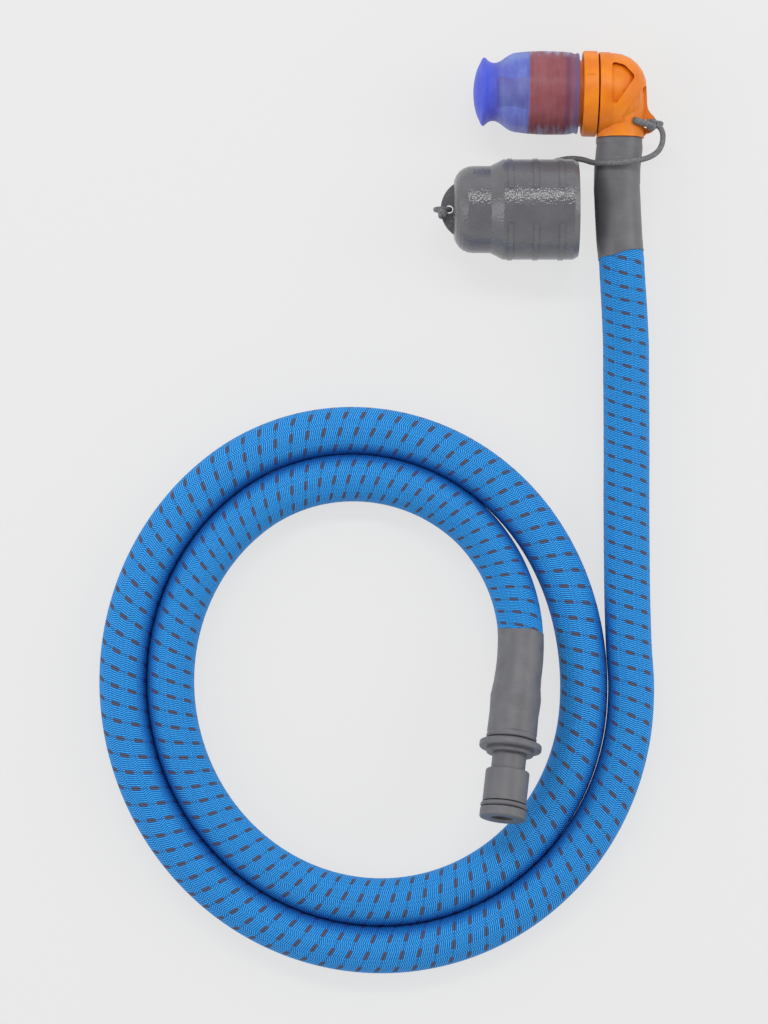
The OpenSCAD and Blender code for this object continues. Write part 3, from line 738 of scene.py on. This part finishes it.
def sleeve(name, path, cut_start, cut_end, swell, seed):
    """A shrunk film round the hose, with fine creases round it and uneven cut edges."""
    up, left = upright_frames(path)
    angles = turns(len(path), FILM_SIDES)
    along = lengths(path)[:, None]
    rng = np.random.default_rng(seed)
    radius = SLEEVE_R + between(along, swell) + np.zeros(angles.shape)
    for _ in range(CREASES):
        at = rng.uniform(0, along[-1, 0])
        lean = rng.uniform(-0.6, 0.6)
        faced = rng.uniform(0, 2 * math.pi)
        reach = rng.uniform(0.4, 1.1)
        width = rng.uniform(0.25, 0.6)
        turn = np.angle(np.exp(1j * (angles - faced)))
        dent = np.exp(-(((along - at - lean * turn) / width) ** 2) - (turn / reach) ** 2)
        radius = radius + CREASE_DEPTH * rng.uniform(-1, 0.5) * dent
    outer = ring_points(path, up, left, radius, angles)
    inner = ring_points(path, up, left, SLEEVE_BORE_R, angles)
    shift = tangents(path)[:, None]
    share = along / along[-1]
    edge = (1 - share) * waves(angles, cut_start) + share * waves(angles, cut_end)
    moved = shift * edge[..., None]
    rings = np.concatenate([outer + moved, (inner + moved)[::-1]])
    return loft(name, rings, closed=True)


# Mouthpiece, turned about the valve's axis: stations from the crossing, and radii

MOUTH_STEP = 0.3
MOUTH_SIDES = 96
MOUTH_OUTER = [
    (11.9, 11.45),
    (12.05, 11.6),
    (12.4, 11.6),
    (12.6, 11.4),
    (12.9, 11.35),
    (14, 11.65),
    (18, 11.9),
    (24, 11.9),
    (28, 11.6),
    (31, 11.1),
    (32.7, 10.15),
    (34.4, 8.95),
    (35.6, 8.4),
    (36.6, 8.35),
    (37.6, 8.7),
    (38.5, 9.45),
    (39, 9.85),
    (39.4, 9.7),
    (40.2, 8.3),
    (41.1, 6.3),
    (41.75, 3.6),
    (42, 1.4),
    (42.05, 0.4),
]
MOUTH_INNER = [
    (39.3, 0.4),
    (39.2, 1.4),
    (38.8, 4),
    (37.6, 6),
    (35.8, 6.6),
    (34, 7.4),
    (32, 9),
    (29, 9.7),
    (26.6, 9.8),
    (26.1, 10.25),
    (25.6, 10.25),
    (25, 10.25),
    (12, 10.25),
]
# The bite slit: its width, its thickness and the stations where its cut starts and ends
SLIT_W = 9.0
SLIT_T = 0.3
SLIT_FROM = 36.0
SLIT_TO = 45.0


def valve_point(station, radius, angle):
    """A point round the valve's axis; angles turn from up to its side."""
    across = np.cos(angle)[..., None] * UP + np.sin(angle)[..., None] * VALVE_SIDE
    return ELBOW_AT + station[..., None] * VALVE_AXIS + radius[..., None] * across


def mouthpiece():
    """The silicone mouthpiece; its material reads where each point is on it."""
    outer = spline([(*p, 0) for p in MOUTH_OUTER], MOUTH_STEP)[:, :2]
    inner = spline([(*p, 0) for p in MOUTH_INNER], MOUTH_STEP)[:, :2]
    profile = np.concatenate([inner, outer])
    angles = turns(len(profile), MOUTH_SIDES)
    stations = np.broadcast_to(profile[:, :1], angles.shape)
    radii = profile[:, 1:] + np.zeros(angles.shape)
    piece = loft("mouthpiece", valve_point(stations, radii, angles))
    add_values(piece, "station", stations)
    add_values(piece, "flank", np.abs(np.sin(angles)))
    outside = np.repeat([0.0, 1.0], [len(inner), len(outer)])
    add_values(piece, "outside", np.repeat(outside, MOUTH_SIDES))
    return cut_slit(piece)


def cut_slit(piece):
    """Cuts the bite slit through the mouthpiece's end."""
    ends = [(u, v, w) for u in (SLIT_FROM, SLIT_TO) for v in (-1, 1) for w in (-1, 1)]
    corners = [
        ELBOW_AT + u * VALVE_AXIS + v * SLIT_W / 2 * VALVE_SIDE + w * SLIT_T / 2 * UP for u, v, w in ends
    ]
    faces = [[0, 1, 3, 2], [4, 6, 7, 5], [0, 4, 5, 1], [2, 3, 7, 6], [0, 2, 6, 4], [1, 5, 7, 3]]
    knife = make_object("knife", corners, faces)
    slit = piece.modifiers.new("slit", "BOOLEAN")
    slit.object = knife
    bpy.context.view_layer.objects.active = piece
    bpy.ops.object.modifier_apply(modifier=slit.name)
    bpy.data.objects.remove(knife)
    return piece


# Tether and its knots

KNOT_ROWS = 72
KNOT_SIDES = 12
# How far the knot's curve goes out from its middle, and how far up and down, before it is sized
KNOT_REACH = 3
KNOT_DEPTH = 1.3
LOOP_ROWS = 48
LOOP_SIDES = 16
LOOP_CORD_R = TETHER_R - 0.05
LUG_LOOP_AT = np.array([30.275, 9.3, 12.3])
LUG_LOOP_R = 2.075
LUG_KNOT_AT = np.array([29.3, 8.75, 15.9])
LUG_KNOT_SIZE = 1.2
LUG_STUB = [[0.2, -0.3, 0.4], [-1.5, 0.05, 1], [-3.2, 0.4, 2.1], [-5.1, 0.9, 3.4]]
LUG_STUB_R = 0.95
LUG_STUB_STEP = 0.3
CAP_LOOP_AT = np.array([-30.6, -15.6, 14.4])
CAP_LOOP_R = 2.016
CAP_KNOT_AT = np.array([-30.7, -16.8, 17.416])
CAP_KNOT_SIZE = 1.05


def knot(name, at, facing, size, stubs):
    """An overhand knot pulled into a ball, with the cords that leave it."""
    t = turns(1, KNOT_ROWS)[0]
    across = [np.sin(t) + 2 * np.sin(2 * t), np.cos(t) - 2 * np.cos(2 * t)]
    local = np.stack([*across, -KNOT_DEPTH * np.sin(3 * t)], axis=1)
    # Any direction across the one it faces
    first = unit(np.cross(facing, UP + 0.3))
    axes = np.array([first, np.cross(facing, first), facing])
    path = at + local * size / KNOT_REACH @ axes
    rows = np.concatenate([path, path[:1]])
    up, left = carried_frames(rows, facing)
    rings = ring_points(rows, up, left, TETHER_R, turns(len(rows), KNOT_SIDES))[:-1]
    return joined(name, [loft(name, rings, closed=True), *stubs])


def cord_ring(name, at, radius):
    """A loop of cord standing in the plane of X and Z."""
    angles = turns(LOOP_ROWS, LOOP_SIDES)
    turn = turns(1, LOOP_ROWS)[0]
    out = np.stack([np.cos(turn), np.zeros(LOOP_ROWS), np.sin(turn)], axis=1)
    across = np.broadcast_to([0.0, 1.0, 0.0], out.shape)
    rings = ring_points(at + radius * out, out, across, LOOP_CORD_R, angles)
    return loft(name, rings, closed=True)


def lug_knot():
    """The tie at the elbow's lug: a loop through its hole, a knot and a loose end."""
    stub_path = spline(LUG_KNOT_AT + np.array(LUG_STUB), LUG_STUB_STEP)
    stub = cord_mesh("stub", stub_path, LUG_STUB_R, LOOP_SIDES, [0, 1, 0])
    ring = cord_ring("ring", LUG_LOOP_AT, LUG_LOOP_R)
    return knot("lug_knot_cord", LUG_KNOT_AT, unit([0.3, 0.2, 1]), LUG_KNOT_SIZE, [ring, stub])


def cap_knot():
    """The tie at the cap's tab: a loop through its hole and a knot."""
    ring = cord_ring("ring", CAP_LOOP_AT, CAP_LOOP_R)
    return knot("cap_knot_cord", CAP_KNOT_AT, unit([-1, 0.2, 0.4]), CAP_KNOT_SIZE, [ring])


# Stage

# How bright the tent is at its sides and overhead, and the heights between which it changes
TENT_SIDES = 1.12
TENT_TOP = 0.3
TENT_FADE = (0.85, 0.3)
FLOOR_GLOW = 0.66
FLOOR_GREY = (0.15, 0.15, 0.15, 1)
FLOOR_HALF = 3000


def tent():
    """Soft light from all round, brighter at the sides than overhead."""
    world = bpy.data.worlds.new("tent")
    bpy.context.scene.world = world
    world.use_nodes = True
    tree = world.node_tree
    heading = tree.nodes.new("ShaderNodeTexCoord")
    parts = tree.nodes.new("ShaderNodeSeparateXYZ")
    tree.links.new(heading.outputs["Generated"], parts.inputs[0])
    sides = Field(tree, parts.outputs[2]).ramp(*TENT_FADE)
    background = tree.nodes["Background"]
    background.inputs["Color"].default_value = (1, 1, 1, 1)
    feed(tree, background.inputs["Strength"], sides * (TENT_SIDES - TENT_TOP) + TENT_TOP)


def area_light(name, at, aim, size, power):
    """A lamp, placed and sized in metres, with its power in watts."""
    light = bpy.data.lights.new(name, "AREA")
    light.shape = "RECTANGLE"
    light.size, light.size_y = size
    light.energy = power
    lamp = bpy.data.objects.new(name, light)
    lamp.location = at
    lamp.rotation_euler = (Vector(aim) - Vector(at)).to_track_quat("-Z", "Y").to_euler()
    bpy.context.scene.collection.objects.link(lamp)


def stage():
    """The floor, the tent round it and three lamps."""
    bpy.context.scene.view_settings.view_transform = "Standard"
    tent()
    corners = [[-1, -1, 0], [1, -1, 0], [1, 1, 0], [-1, 1, 0]]
    floor = make_object("floor", np.array(corners) * FLOOR_HALF, [[0, 1, 2, 3]])
    pale = Surface("floor", roughness=0.9, specular_IOR_level=0.0, base_color=FLOOR_GREY)
    pale.set("Emission Color", (1, 1, 1, 1))
    pale.set("Emission Strength", FLOOR_GLOW)
    floor.data.materials.append(pale.material)
    area_light("key", at=(-0.05, 0.6, 1.1), aim=(-0.05, 0, 0), size=(1.1, 0.16), power=6.6)
    area_light("fill", at=(-1.0, -0.1, 0.75), aim=(-0.05, -0.1, 0), size=(0.7, 0.7), power=3.2)
    area_light("side", at=(0.95, 0.2, 0.7), aim=(-0.05, -0.1, 0), size=(0.7, 0.7), power=3.5)


# The scene's own pieces

camera()
route = swayed(spline(hose_route(), RING_STEP))
tether_path = spline(TETHER_POINTS, TETHER_STEP)
cover = finish(hose_cover(route), "woven_cover")
tube = finish(drinking_tube(route), "tube_rubber")
reach = lengths(route)
valve_part = spline(route[reach <= VALVE_SLEEVE_LEN], FILM_STEP)
plug_part = spline(route[reach >= reach[-1] - PLUG_SLEEVE_LEN], FILM_STEP)
valve_film = sleeve(
    "valve_shrink_sleeve", valve_part, VALVE_FILM_TOP, VALVE_FILM_CUT, VALVE_FILM_SWELL, seed=3,
)
plug_film = sleeve(
    "plug_shrink_sleeve", plug_part, PLUG_FILM_CUT, PLUG_FILM_END, PLUG_FILM_SWELL, seed=7,
)
finish(valve_film, "shrink_sleeve")
finish(plug_film, "shrink_sleeve")
cord = finish(cord_mesh("tether_cord", tether_path, TETHER_R, TETHER_SIDES), "tether_cord")
lug_tie = finish(lug_knot(), "tether_cord")
cap_tie = finish(cap_knot(), "tether_cord")
mouth = finish(mouthpiece(), "bite_silicone")

# Finishes of the solids that are shown as they are

CAD_FINISH = {
    "swivel_barb": "grey_plastic",
    "plug_body": "grey_plastic",
    "dust_cap": "cap_plastic",
    "elbow": "orange_plastic",
    "valve_core": "orange_plastic",
    "twist_ring": "orange_plastic",
    "swivel_o_ring": "seal_rubber",
    "core_o_ring": "seal_rubber",
    "plug_o_ring": "grey_plastic",
    "tip_seal": "seal_rubber",
    "swivel_clip": "clip_steel",
}
for node, slot in CAD_FINISH.items():
    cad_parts[node].data.materials.clear()
    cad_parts[node].data.materials.append(MATERIALS[slot])

# What each piece moves with, and the solids that are hidden

for piece in (cover, tube, valve_film, plug_film):
    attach(piece, "hose")
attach(lug_tie, "elbow")
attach(cap_tie, "dust_cap")
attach(mouth, "valve_head")
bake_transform(cord)

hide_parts("hose_cover_run", "hose_cover_coil")
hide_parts("inner_tube")
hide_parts("valve_sleeve")
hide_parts("plug_sleeve")
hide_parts("tether")
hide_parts("lug_knot")
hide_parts("cap_knot")
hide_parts("bite_valve")

# The hose's route in metres, as a list that is not kept

(route * MM).tolist()

stage()
